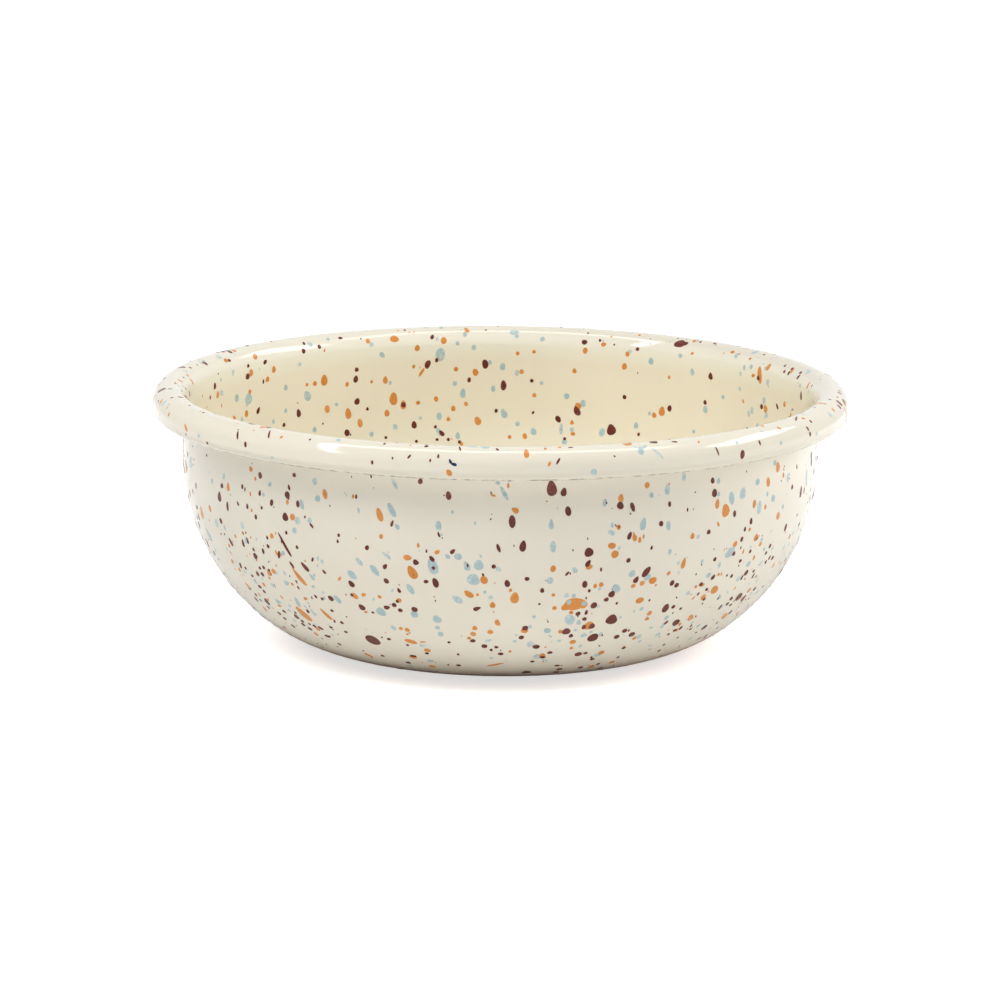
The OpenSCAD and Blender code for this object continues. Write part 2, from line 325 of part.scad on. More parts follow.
// On the inside wall, percents run from the top of the rim to the middle of the floor
blue_inside = [
    [118.5, 8, 1.6, 1.5], [118.8, 14.8, 1.5, 1.3], [119.7, 5.3, 1.2, 1.1], [119.7, 12, 1.8, 1.6],
    [121.8, 17.5, 1.1, 0.9], [123.7, 14.7, 2, 1.4], [124.3, 5.7, 1.3, 1.2], [127.4, 7.7, 1.2, 1.2],
    [127.5, 10.8, 1.2, 1.1], [132.2, 13.2, 1.2, 1.1], [136.8, 16.5, 2, 1.5], [139.4, 21.5, 1, 1],
    [140.2, 9, 1.9, 1.3], [143.1, 5.9, 1.2, 1.2], [149.7, 7.7, 1.8, 1.5], [149.8, 18.8, 1.1, 1],
    [152.6, 21.6, 1.6, 1.3], [154.3, 6, 1, 1], [159.7, 23.6, 2.3, 1.5, 10], [163.8, 17.7, 1.9, 1.5],
    [165.8, 23.3, 1.2, 1.2], [167.1, 16.3, 1.6, 1.4], [167.2, 25.9, 1.5, 1.3], [168, 23.3, 2.8, 0.9],
    [172, 4.2, 1.3, 1.2], [172.1, 13.6, 1, 1], [173.5, 23.9, 1.9, 1.5, -15], [176.7, 22.3, 1.2, 1.2],
    [176.9, 11.4, 1.6, 1.2], [177, 3.6, 1.1, 1.1], [179.4, 20.1, 2.5, 1.6, -20], [179.7, 10.1, 1.9, 1.4],
    [181.5, 14.8, 1.7, 1.1], [182.2, 9.2, 1.3, 1], [185.3, 5.9, 1.5, 1.2], [187.4, 15.6, 2.5, 1.4],
    [188.5, 4.9, 1.1, 1], [188.5, 24.6, 1.8, 1.2], [189, 13.5, 1.2, 1.2], [191.9, 7.1, 3.4, 2.5],
    [192.1, 20.3, 2, 1.4], [192.2, 23.6, 2.2, 1.3, -30], [195.9, 20.5, 1, 1], [201.1, 21.9, 1.5, 1.2, -35],
    [202, 12.5, 1, 0.9], [203.7, 6.4, 1.8, 1.2, -40], [205.8, 4, 1.2, 1.2], [206.2, 23, 1.3, 1.2],
    [213.6, 15.9, 1, 1], [218.9, 20.5, 1.5, 1.2], [220.4, 13.2, 2.9, 2, -30], [222.3, 6.2, 1.1, 1.1],
    [225.9, 10.6, 1.6, 1.3], [225.9, 15.5, 1.2, 1.1], [229.3, 17.2, 1.2, 1.1], [236.6, 11.2, 3.1, 2.7],
    [238.8, 15.2, 1.5, 1.2], [240.6, 10.3, 2.1, 1.7], [241.8, 4.6, 1.3, 0.9, 80], [246.3, 8.2, 2.1, 1.3, -50]
];
ochre_inside = [
    [111.7, 11.3, 1.5, 1.3], [119.2, 13.6, 2, 1.7, -20], [121.4, 6.9, 4.6, 1.8, -8],
    [123.5, 7.4, 1.5, 0.9, 70],
    [125.5, 4.1, 0.9, 0.7, 80], [140.4, 5.1, 0.9, 0.8, 80], [145.6, 10.7, 1, 0.8],
    [147.1, 18.1, 2.4, 1.8, 10],
    [148.8, 19.1, 1.5, 1.2], [154.8, 6.6, 1.4, 1.1], [155.4, 9.3, 1.8, 1.3, 10], [159.8, 4.9, 1.4, 1.1, 75],
    [163.5, 6.4, 1.7, 1.2, 20], [164.8, 18.3, 1.9, 1.6], [165.6, 10.8, 1.3, 1.1], [165.6, 24.2, 1.2, 1, 80],
    [165.9, 21.8, 1.1, 1], [173.5, 16.2, 1.1, 1], [173.6, 6.9, 1, 0.9], [175.2, 24.9, 1.5, 1.2],
    [176, 11.2, 1.3, 1.1], [176.8, 7.3, 1, 1], [178.2, 25.1, 1, 1], [184.5, 21.6, 2.2, 1.7, -20],
    [185, 11.2, 2, 1.4, -10], [186.8, 17.9, 1.2, 1], [187.8, 26.3, 1.1, 0.9], [188.8, 10.4, 1.2, 1.1],
    [189.3, 18.8, 1.4, 1.2], [190.3, 21, 1.1, 1], [191.2, 4.2, 1.9, 1.5], [192.7, 16.6, 1.5, 1.1],
    [195.6, 10.7, 2.6, 0.7, 35], [196.3, 17.2, 1.1, 1.1], [196.5, 5.5, 1.7, 1.3], [197.2, 9.4, 1, 0.9],
    [199.3, 17.4, 2.4, 1.5], [201.3, 16, 3.3, 2.1, -10], [202.7, 18.9, 1.7, 1.4], [203, 11.8, 2, 1.3],
    [205.9, 11.9, 0.9, 0.8], [206.5, 3.2, 1.3, 1.2], [208.5, 20.4, 2.2, 1.5, -10], [211, 18.1, 2.8, 1.7, -8],
    [211.2, 11.9, 1.2, 1], [215.7, 16.6, 2.1, 1.5], [216.4, 10.4, 2.8, 2], [218.6, 10.8, 1.3, 1.2],
    [220.5, 10.8, 0.9, 0.9], [229.1, 6.3, 1.7, 1.4], [230.9, 8.1, 1.5, 1.3], [235.8, 5.9, 2, 1.5, -20],
    [236.2, 9.8, 1.2, 1.1], [237.3, 14.2, 1.8, 1.4], [241.5, 14.3, 1.5, 1.1, -40], [248, 8.2, 1.8, 1.6]
];
brown_inside = [
    [111.1, 4.7, 1.2, 1], [120.5, 13.4, 1.3, 1.3], [121.8, 7.6, 1.4, 1.2], [135.6, 9.3, 1.8, 1.4],
    [136.9, 15, 1.2, 1.1], [143, 3.1, 2.2, 1.3, 80], [145.4, 17.3, 1.6, 1.3], [151.9, 23.4, 0.9, 0.8],
    [152.7, 5.4, 1, 1], [155.3, 15.8, 1.2, 1], [157.8, 22.9, 2.8, 2.4, -25], [163.7, 4.6, 1.6, 1.2, 80],
    [165, 19.3, 2.6, 1.6, -20], [167.2, 25.3, 0.9, 0.8], [168.7, 21.2, 1.9, 1.3, -25], [174, 13.1, 1, 0.9],
    [179.5, 14.1, 2.5, 1.5], [180.9, 19.5, 1, 0.9], [183.1, 9.5, 2.5, 1.5, -5], [186.2, 12.8, 1.4, 0.9, 10],
    [188.2, 25.9, 0.9, 0.8], [190.4, 25.3, 0.9, 0.8], [191.7, 23.9, 1.8, 1.1, -40],
    [192.6, 8.3, 1.2, 0.9, 15],
    [192.7, 25.2, 0.8, 0.8], [192.9, 22.5, 0.9, 0.8], [193.4, 3.3, 1.4, 0.9, 30], [194.4, 9.1, 2.2, 1.5, 15],
    [196.9, 25.3, 0.8, 0.8], [197.2, 21.8, 1.9, 1.4], [199.3, 17.4, 1.5, 1.2], [203.2, 24, 0.8, 0.8],
    [206.8, 17.6, 0.9, 0.8], [209, 15.8, 1.7, 1.5], [209.1, 9, 1.2, 1.1], [209.3, 11, 1.9, 1.3, 10],
    [211.5, 22.1, 1.8, 1.5], [217.3, 3.2, 1.2, 1], [221.2, 3.6, 1.3, 1.2], [222.6, 16.5, 2.1, 1.4, -10],
    [226.5, 18.4, 1.1, 1], [236.7, 4.3, 1, 0.9], [236.9, 6.5, 1.6, 1.6], [249.3, 6.2, 1.7, 1.4]
];

// On the rolled rim, percents run from its top over the front to the end of its lower bend
blue_rim = [
    [-56.7, 52, 1.1, 1], [-38.5, 65, 0.9, 0.7, 80], [-27.1, 5, 1.6, 1.1, -50], [14.6, 72, 1.6, 1.5],
    [22.7, 34, 2.4, 1.4, 15], [25.4, 43, 3.8, 0.7, -38], [40.7, 44.3, 1, 0.8], [50.6, 64.7, 1, 1],
    [61.7, 69, 1.3, 0.9, 80]
];
ochre_rim = [
    [-61.1, 45, 2.4, 0.9, -52], [-37.5, 18.5, 0.8, 0.8], [-7.9, 68, 1.8, 1.2, -30], [4.1, 26, 2.8, 1.1, -3],
    [7.2, 12, 1.1, 0.7], [7.6, 51, 1.3, 0.6, 28], [9.6, 4, 1.2, 0.9], [33.5, 28.6, 0.9, 0.5, 40],
    [51.8, 32.6, 1.3, 0.8, -50], [60.2, 26.7, 1.2, 0.8, -70]
];
brown_rim = [
    [-54.2, 62.7, 0.9, 0.7, -60], [-46.6, 31, 2.2, 0.6, -28], [-44.3, 47, 1.4, 0.8, -15],
    [-40.3, 14.5, 3, 0.5, -28], [-20.2, 53, 1, 0.6], [-19, 5, 0.9, 0.6, -15], [-14.3, 37, 1.2, 0.5, 30],
    [-12, 5, 1.3, 1], [-10.9, 43.5, 0.8, 0.5], [-9.7, 34, 1.1, 0.5], [-6.5, 10.6, 2.1, 0.4, -15],
    [-0.5, 13, 1.1, 0.6, -25], [9, 46, 1.8, 0.5, 32], [11.4, 10, 1.2, 0.5, 80], [29.3, 18.5, 1.4, 0.6, -70],
    [36.3, 55, 2.4, 0.4, -15], [41.4, 71, 2.1, 1.4, 5], [45.5, 54, 1.3, 0.5], [58.7, 9, 3.6, 0.5, 65],
    [59, 52, 1.2, 0.7, -25], [59.3, 64.7, 1.2, 0.8], [61.2, 40, 1, 0.7, -30]
];

// Sets a list of drops between two places along a face
function set_drops(list, from, to) = [
    for (row = list)
        let (
            half_l = row[2] / 2 * drop_w / drawn_w,
            down = abs(to - from) * row[1] / 100,
            upright = down - rim_r * sin(row[0]) * tan(set_lean)
        )
        [
            from + sign(to - from) * max(upright, min(down, half_l)),
            front_turn + row[0],
            half_l,
            row[3] / 2 * drop_w / drawn_w,
            len(row) > 4 ? row[4] : 0
        ]
];

// The narrowest scattered drop as a share of the widest
least_size = 0.4;
// Length of a scattered drop as a share of its width, on the level and at most on the upright wall
level_stretch = 1.2;
wall_stretch = 2.4;
// Steepest lean of a scattered drop either way
most_lean = 30;

// A share of the turn that never repeats sets each drop well away from the last, and a shake hides the order
golden_share = 0.618034;
shake_share = 0.04;

function past_whole(share) = share - floor(share);

// Drops of one colour between two distances along a face and two turns from the front. A spread of 0.5
// covers a flat disc evenly, 1 an upright wall, and between them a bowl. Small drops are the most common.
function scatter(face, from, to, turn_from, turn_to, count, spread, batch) =
    let (chance = rands(0, 1, 5 * count, splatter + 100 * batch))
    [
        for (i = [0:count - 1])
            let (
                s = from + (to - from) * pow((i + chance[5 * i]) / count, spread),
                share = past_whole(golden_share * i + batch / 3 + shake_share * chance[5 * i + 3]),
                half_w = drop_w / 2 * (least_size + (1 - least_size) * pow(chance[5 * i + 1], 2)),
                most = level_stretch + (wall_stretch - level_stretch) * (1 - level(face, s)),
                half_l = half_w * (level_stretch + (most - level_stretch) * chance[5 * i + 2])
            )
            [
                s,
                front_turn + turn_from + (turn_to - turn_from) * share,
                half_l,
                half_w,
                most_lean * (2 * chance[5 * i + 4] - 1)
            ]
    ];

// Clear of the seam, the ring that the bowl stands on and the very middle
margin = 2 * drop_w;
// Clear of the rim's top and its lower bend
rim_margin = drop_w;
// Turns where the drops set one by one end on the outside and on the rim, and on the inside
outside_left = -67;
outside_right = 74;
inside_right = 108;
inside_left = 252;
// How far down the drops set one by one reach on the outside and on the inside, in percent
outside_down = 82;
inside_down = 28;
// Shares of the scattered outside drops that fall on the base and on the low front
base_share = 0.12;
low_share = 0.08;
// Shares of the scattered inside drops that fall on the near inner wall and on the back of the rim
near_share = 0.3;
back_share = 0.2;

module outside_drops(drawn, colour) {
    base_count = round(base_share * drops_outside);
    low_count = round(low_share * drops_outside);
    back_count = drops_outside - base_count - low_count;
    low_s = seam_s + (foot_s - seam_s) * outside_down / 100;
    fused_drops(outside_face, concat(
        set_drops(drawn, seam_s, foot_s),
        scatter(outside_face, margin, lift_r - margin, 0, 360, base_count, 0.5, colour),
        scatter(
            outside_face, foot_s + drop_w, low_s - drop_w,
            outside_left, outside_right, low_count, 1, colour + 3
        ),
        scatter(
            outside_face, foot_s + margin, seam_s - margin,
            outside_right, 360 + outside_left, back_count, 0.8, colour + 6
        )
    ));
}

module inside_drops(drawn, drawn_rim, colour) {
    near_count = round(near_share * drops_inside);
    back_count = round(back_share * drops_inside);
    floor_count = drops_inside - near_count - back_count;
    low_s = top_s * (1 - inside_down / 100);
    fused_drops(inside_face, concat(
        set_drops(drawn, top_s, 0),
        set_drops(drawn_rim, top_s, under_s),
        scatter(inside_face, margin, low_s - margin, 0, 360, floor_count, 0.6, colour + 9),
        scatter(
            inside_face, low_s, top_s - margin,
            inside_left - 360, inside_right, near_count, 1, colour + 12
        ),
        scatter(
            inside_face, top_s + rim_margin, under_s - rim_margin,
            outside_right, 360 + outside_left, back_count, 1, colour + 15
        )
    ));
}

module steel_bowl()
    color([0.60, 0.60, 0.61])
        turned_layer(sheet_path, steel_from, steel_to);

module ground_coat_inside()
    color([0.11, 0.12, 0.17])
        turned_layer(sheet_path, steel_to, ground_to);

module ground_coat_outside()
    color([0.11, 0.12, 0.17])
        turned_layer(outside_path, ground_from, steel_from);

module cover_coat_inside()
    color([0.92, 0.88, 0.78])
        turned_layer(closed_path, ground_to, wall_t);

module cover_coat_outside()
    color([0.90, 0.87, 0.80])
        turned_layer(outside_path, 0, ground_from);

module blue_drops_inside()
    color([0.67, 0.78, 0.81])
        inside_drops(blue_inside, blue_rim, 1);

module blue_drops_outside()
    color([0.67, 0.78, 0.81])
        outside_drops(blue_outside, 1);

module ochre_drops_inside()
    color([0.86, 0.56, 0.24])
        inside_drops(ochre_inside, ochre_rim, 2);

module ochre_drops_outside()
    color([0.84, 0.55, 0.26])
        outside_drops(ochre_outside, 2);

module brown_drops_inside()
    color([0.41, 0.24, 0.22])
        inside_drops(brown_inside, brown_rim, 3);

module brown_drops_outside()
    color([0.41, 0.24, 0.22])
        outside_drops(brown_outside, 3);

steel_bowl();
ground_coat_inside();
ground_coat_outside();
cover_coat_inside();
cover_coat_outside();
blue_drops_inside();
blue_drops_outside();
ochre_drops_inside();
ochre_drops_outside();
brown_drops_inside();
brown_drops_outside();
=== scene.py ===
# A round enamelled steel bowl with a rolled rim: cream glass fused over steel, inside and out,
# flicked all over with drops of pale blue, ochre and brown. Metres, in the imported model's frame.
import math
import random

import bmesh
import bpy
from mathutils import Matrix, Vector
from mathutils.bvhtree import BVHTree


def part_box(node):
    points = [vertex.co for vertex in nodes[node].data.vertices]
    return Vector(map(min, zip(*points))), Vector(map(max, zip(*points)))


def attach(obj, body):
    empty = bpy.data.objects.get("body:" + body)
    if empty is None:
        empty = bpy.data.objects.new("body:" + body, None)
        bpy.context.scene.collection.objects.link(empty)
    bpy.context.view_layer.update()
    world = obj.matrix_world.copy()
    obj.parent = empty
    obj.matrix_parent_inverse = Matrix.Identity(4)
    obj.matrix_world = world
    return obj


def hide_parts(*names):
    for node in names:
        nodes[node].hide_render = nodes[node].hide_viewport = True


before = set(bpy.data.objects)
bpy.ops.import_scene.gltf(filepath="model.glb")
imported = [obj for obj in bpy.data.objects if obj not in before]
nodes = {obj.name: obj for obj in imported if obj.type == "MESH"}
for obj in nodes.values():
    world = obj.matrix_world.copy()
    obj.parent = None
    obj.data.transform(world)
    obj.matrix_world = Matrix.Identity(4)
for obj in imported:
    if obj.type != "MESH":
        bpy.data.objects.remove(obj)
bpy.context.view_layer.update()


# Steel bowl
# One disc of mild steel sheet, drawn to shape in a press, with its edge rolled outwards into a hollow bead.
# Glass covers it on every side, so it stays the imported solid, with the faint rings that drawing leaves.
def start_material(name):
    """A new material with its shader, and a source of places on the piece itself."""
    material = bpy.data.materials.new(name)
    material.use_nodes = True
    shader = material.node_tree.nodes["Principled BSDF"]
    places = material.node_tree.nodes.new("ShaderNodeTexCoord").outputs["Object"]
    return material, shader, places


def add_node(material, kind, links=None, **settings):
    """Adds a node with its settings, joins outputs to its inputs by name or number, and returns it."""
    node = material.node_tree.nodes.new(kind)
    for key, value in settings.items():
        setattr(node, key, value)
    for socket, source in (links or {}).items():
        if isinstance(source, bpy.types.NodeSocket):
            material.node_tree.links.new(source, node.inputs[socket])
        else:
            node.inputs[socket].default_value = source
    return node


def join(material, source, target):
    """Joins an output to an input."""
    material.node_tree.links.new(source, target)


def fade(material, value, colours):
    """Turns a value into a colour, through colours set at places from 0 to 1."""
    ramp = add_node(material, "ShaderNodeValToRGB", {"Fac": value})
    stops = ramp.color_ramp.elements
    while len(stops) < len(colours):
        stops.new(0.5)
    for stop, (place, colour) in zip(stops, colours):
        stop.position = place
        stop.color = (*colour, 1)
    return ramp.outputs["Color"]


def wear_material(object_name, material):
    """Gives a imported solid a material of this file."""
    nodes[object_name].data.materials.clear()
    nodes[object_name].data.materials.append(material)


drawn_steel, steel_shader, steel_places = start_material("drawn_steel")
press_rings = add_node(
    drawn_steel, "ShaderNodeTexWave", {"Vector": steel_places, "Scale": 180.0, "Distortion": 1.5},
    wave_type="RINGS", rings_direction="Z",
)
ring_tones = [(0.2, (0.30, 0.30, 0.31)), (0.8, (0.38, 0.38, 0.39))]
steel_tone = fade(drawn_steel, press_rings.outputs["Fac"], ring_tones)
join(drawn_steel, steel_tone, steel_shader.inputs["Base Color"])
steel_shader.inputs["Metallic"].default_value = 1.0
steel_shader.inputs["Roughness"].default_value = 0.38
wear_material("steel_bowl", drawn_steel)


# Ground coats
# Dark blue-black glass with cobalt in it, dipped and fired straight onto the pickled steel so that it grips.
# The cream coats cover them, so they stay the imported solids, mottled with fine bubbles.
def grain(material, places, size, detail):
    """Soft noise whose lumps are about the given size across."""
    noise = {"Vector": places, "Scale": 1 / size, "Detail": detail}
    return add_node(material, "ShaderNodeTexNoise", noise).outputs["Fac"]


ground_enamel, ground_shader, ground_places = start_material("ground_enamel")
bubbles = grain(ground_enamel, ground_places, 0.0012, 4.0)
bubble_tones = [(0.35, (0.006, 0.007, 0.013)), (0.7, (0.018, 0.021, 0.036))]
join(ground_enamel, fade(ground_enamel, bubbles, bubble_tones), ground_shader.inputs["Base Color"])
ground_shader.inputs["Roughness"].default_value = 0.16
wear_material("ground_coat_inside", ground_enamel)
wear_material("ground_coat_outside", ground_enamel)


# Cover coat outside
# Cream glass sprayed over the ground coat and fired glossy, from the middle of the base to the seam under
# the rim. It is worn along the ring that the bowl stands on.
rim_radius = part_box("cover_coat_inside")[1][0]
bowl_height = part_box("cover_coat_inside")[1][2]
wall_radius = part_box("cover_coat_outside")[1][0]
foot_radius = 0.034
belly_radius = 0.0465
base_radius = 0.0346
wall_thickness = 0.00126
coat_thickness = 0.00016
press_radius = 0.004
press_lift = 0.0008
ring_width = 0.0047
belly_cosine = (belly_radius - wall_radius + foot_radius) / (belly_radius - base_radius)
belly_turn = math.degrees(math.acos(belly_cosine))
belly_sine = math.sin(math.radians(belly_turn))
belly_height = belly_radius * belly_sine + base_radius * (1 - belly_sine)
press_turn = math.degrees(math.acos(1 - press_lift / (2 * press_radius)))
roll_radius = (rim_radius - wall_radius + wall_thickness) / 2
corner_radius = 0.55 * roll_radius
roll_height = bowl_height - roll_radius
corner_height = roll_height - 0.15 * roll_radius
seam_height = corner_height - corner_radius
steps_round = 288
sharp_angle = math.radians(40)


def line_on(mesh, end, across, up):
    """Draws a straight stretch of the wall's section, and returns its new end."""
    new_end = bmesh.ops.extrude_vert_indiv(mesh, verts=[end])["verts"][0]
    new_end.co = (across, 0, up)
    return new_end


def bend_on(mesh, end, centre_across, centre_up, degrees, step=2.5):
    """Bends the section on round a centre, anticlockwise for degrees above 0, and returns its new end."""
    made = bmesh.ops.spin(
        mesh, geom=[end], cent=(centre_across, 0, centre_up), axis=(0, -1, 0),
        angle=math.radians(degrees), steps=max(3, round(abs(degrees) / step)),
    )
    return next(part for part in made["geom_last"] if isinstance(part, bmesh.types.BMVert))


def wall_section(mesh, depth):
    """Draws the wall at a depth from its outside, from the middle of the base to the straight wall."""
    ring_inside = foot_radius - ring_width
    lift_edge = ring_inside - 2 * press_radius * math.sin(math.radians(press_turn))
    end = mesh.verts.new((0, 0, press_lift + depth))
    end = line_on(mesh, end, lift_edge, press_lift + depth)
    end = bend_on(mesh, end, lift_edge, press_lift - press_radius, -press_turn)
    end = bend_on(mesh, end, ring_inside, press_radius, press_turn)
    end = line_on(mesh, end, foot_radius, depth)
    end = bend_on(mesh, end, foot_radius, base_radius, 90 - belly_turn)
    return bend_on(mesh, end, wall_radius - belly_radius, belly_height, belly_turn)


def turn_round(mesh):
    """Turns the section about the bowl's axis into a closed skin that faces outwards."""
    section = mesh.verts[:] + mesh.edges[:]
    bmesh.ops.spin(
        mesh, geom=section, cent=(0, 0, 0), axis=(0, 0, 1), angle=math.tau, steps=steps_round, use_merge=True,
    )
    bmesh.ops.remove_doubles(mesh, verts=mesh.verts[:], dist=1e-6)
    bmesh.ops.recalc_face_normals(mesh, faces=mesh.faces[:])


def make_piece(name, mesh, material):
    """Makes a mesh into a finished piece on the bowl's one body, smooth but for its sharp edges."""
    data = bpy.data.meshes.new(name)
    for face in mesh.faces:
        face.smooth = True
    for edge in mesh.edges:
        edge.smooth = edge.calc_face_angle(0) < sharp_angle
    mesh.to_mesh(data)
    mesh.free()
    data.materials.append(material)
    piece = bpy.data.objects.new(name, data)
    bpy.context.scene.collection.objects.link(piece)
    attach(piece, "root")
    return piece


def mesh_value(material, name):
    """A number that the mesh holds at each of its corners."""
    return add_node(material, "ShaderNodeAttribute", attribute_name=name).outputs["Fac"]


def rescale(material, value, start, end, new_start, new_end):
    """Turns a value between two limits into one between two others."""
    limits = {"Value": value, 1: start, 2: end, 3: new_start, 4: new_end}
    return add_node(material, "ShaderNodeMapRange", limits).outputs[0]


def work_out(material, operation, *values):
    """Joins values by one step of arithmetic."""
    return add_node(material, "ShaderNodeMath", dict(enumerate(values)), operation=operation).outputs[0]


def blend(material, amount, tone, other):
    """Mixes another colour into a tone."""
    inputs = {"Factor": amount, 6: tone, 7: (*other, 1)}
    return add_node(material, "ShaderNodeMix", inputs, data_type="RGBA").outputs[2]


def cream_material(name, cream, shade):
    """Glossy cream enamel: a slow drift of tone, a painted paler lip and a painted duller roll, a rippled skin,
    and thin places that show grey.
    """
    painted_light_lip_cream = (0.865, 0.835, 0.705)
    painted_shade_roll_cream = (0.760, 0.705, 0.585)
    bare_grey = (0.20, 0.16, 0.13)
    material, shader, places = start_material(name)
    drift = grain(material, places, 0.022, 3.0)
    tone = fade(material, drift, [(0.3, shade), (0.7, cream)])
    # Painted light: the inside is mixed to a paler, less yellow cream just below the rim.
    tone = blend(material, mesh_value(material, "lip"), tone, painted_light_lip_cream)
    # Painted shade: the roll is mixed to a duller, greyer cream.
    tone = blend(material, mesh_value(material, "roll"), tone, painted_shade_roll_cream)
    patchy = rescale(material, grain(material, places, 0.0016, 3.0), 0.42, 0.62, 0, 1)
    bare = work_out(material, "MULTIPLY", mesh_value(material, "thin"), patchy)
    tone = blend(material, bare, tone, bare_grey)
    join(material, tone, shader.inputs["Base Color"])
    peel = grain(material, places, 0.0034, 1.0)
    ripple = add_node(material, "ShaderNodeBump", {"Height": peel, "Strength": 0.12, "Distance": 0.00012})
    join(material, ripple.outputs["Normal"], shader.inputs["Normal"])
    haze = rescale(material, drift, 0, 1, 0.05, 0.10)
    join(material, haze, shader.inputs["Roughness"])
    shader.inputs["IOR"].default_value = 1.52
    return material


outside_mesh = bmesh.new()
line_on(outside_mesh, wall_section(outside_mesh, 0), wall_radius, seam_height + wall_thickness)
turn_round(outside_mesh)
outside_coat = BVHTree.FromBMesh(outside_mesh)
bmesh.ops.solidify(outside_mesh, geom=outside_mesh.faces[:], thickness=coat_thickness)
worn = outside_mesh.verts.layers.float.new("thin")
wear = 0.5
wear_height = 0.0001
wear_inside = foot_radius - ring_width
wear_outside = foot_radius + 0.002
for vert in outside_mesh.verts:
    on_ring = wear_inside < vert.co.xy.length < wear_outside
    vert[worn] = wear if on_ring and vert.co.z < wear_height else 0.0
cream_outside = cream_material("cream_enamel_outside", (0.800, 0.745, 0.625), (0.775, 0.722, 0.605))
cover_coat_outside = make_piece("cream_coat_outside", outside_mesh, cream_outside)
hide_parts("cover_coat_outside")


# Cover coat inside
# The same cream glass on the inside of the bowl, run on over the rolled rim to the sheet's cut edge under it.
# It pools into a small fillet where the rolled edge meets the wall, and thins to grey on the tight lower bend.
# Its colour holds
# painted light and shade: a little brighter and yellower than outside for the light bounced round inside, paler
# and less yellow just below the rim as painted light, and duller and greyer on the roll as painted shade.
fillet_radius = 0.0005
lip_from = 0.0520
lip_to = 0.0555
inside_mesh = bmesh.new()
end = wall_section(inside_mesh, wall_thickness)
for height in (lip_from, lip_to, roll_height):
    end = line_on(inside_mesh, end, wall_radius - wall_thickness, height)
end = bend_on(inside_mesh, end, rim_radius - roll_radius, roll_height, -180)
end = line_on(inside_mesh, end, rim_radius, corner_height)
end = bend_on(inside_mesh, end, rim_radius - corner_radius, corner_height, -90, step=5)
end = line_on(inside_mesh, end, wall_radius + fillet_radius, seam_height)
bend_on(inside_mesh, end, wall_radius + fillet_radius, seam_height - fillet_radius, 90, step=10)
turn_round(inside_mesh)
inside_coat = BVHTree.FromBMesh(inside_mesh)
bmesh.ops.solidify(inside_mesh, geom=inside_mesh.faces[:], thickness=coat_thickness)
thinned = inside_mesh.verts.layers.float.new("thin")
# Painted shade: how much of the duller roll tone each corner takes.
painted_shade_roll_share = inside_mesh.verts.layers.float.new("roll")
# Painted light: how far into the paler band below the rim each corner lies.
painted_light_lip_share = inside_mesh.verts.layers.float.new("lip")
thin_height = seam_height + 0.00025
thin_reach = 0.00040
bend_inside = wall_radius + 0.002
bend_bottom = seam_height + 0.00001


def share(value, start, length):
    """How much of a length a value has come from its start, between 0 and 1."""
    return min(1.0, max(0.0, (value - start) / length))


for vert in inside_mesh.verts:
    side = vert.co.xy.length
    up = vert.co.z
    on_bend = side > bend_inside and up > bend_bottom
    vert[thinned] = max(0.0, 1 - abs(up - thin_height) / thin_reach) if on_bend else 0.0
    vert[painted_shade_roll_share] = 1.0 if side > wall_radius else share(up, roll_height, roll_radius)
    vert[painted_light_lip_share] = share(up, lip_from, lip_to - lip_from)
# Painted light: the inside cream is a little brighter and yellower than the outside's, for the light bounced
# round inside.
cream_inside_with_painted_light = cream_material("cream_enamel_inside", (0.842, 0.782, 0.622), (0.820, 0.758, 0.600))
cover_coat_inside = make_piece("cream_coat_inside", inside_mesh, cream_inside_with_painted_light)
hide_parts("cover_coat_inside")


# Blue drops
# Pale blue glass flicked off a brush onto the dry cream coat and fired flush with it. The first colour on,
# so the others lie over it. Drops that land on an upright wall are drawn out along it.
drop_sink = 0.00005
drop_dome = 0.5
large_drop = 0.0022
small_drop = 0.0008
ray_start_outside = 0.2
ray_start_above = 0.1
ray_aim_below = 0.06
seen_left = -67
seen_right = 74
seen_inside_bottom = 0.031
seen_inside_turn = 108
rim_end_bottom = 0.036
rim_end_front = 58
rim_end_back = 128
back_rim_turn = 120
low_side_bottom = 0.006
low_side_top = 0.034
low_side_front = 34
low_side_back = 76
drop_data = bpy.data.meshes.new("drop")


def start_drops():
    """An empty mesh that holds, for each corner, its drop's tone and how near the drop's middle it is."""
    mesh = bmesh.new()
    mesh.verts.layers.float.new("tone")
    mesh.verts.layers.float.new("core")
    return mesh


def blank_drop(sides, rings):
    """A flat unit disc, with rings of corners on its top by which it can follow a tight curve."""
    top_radius = 0.94
    mesh = start_drops()
    bmesh.ops.create_cone(mesh, cap_ends=True, segments=sides, radius1=1.0, radius2=top_radius, depth=1.0)
    top = max(mesh.faces, key=lambda face: face.calc_center_median().z)
    for _ in range(rings):
        bmesh.ops.inset_region(mesh, faces=[top], thickness=top_radius / (rings + 1))
    bmesh.ops.poke(mesh, faces=[top])
    return mesh


large_blank = blank_drop(20, 2)
drop_blank = blank_drop(14, 1)
speck_blank = blank_drop(8, 0)


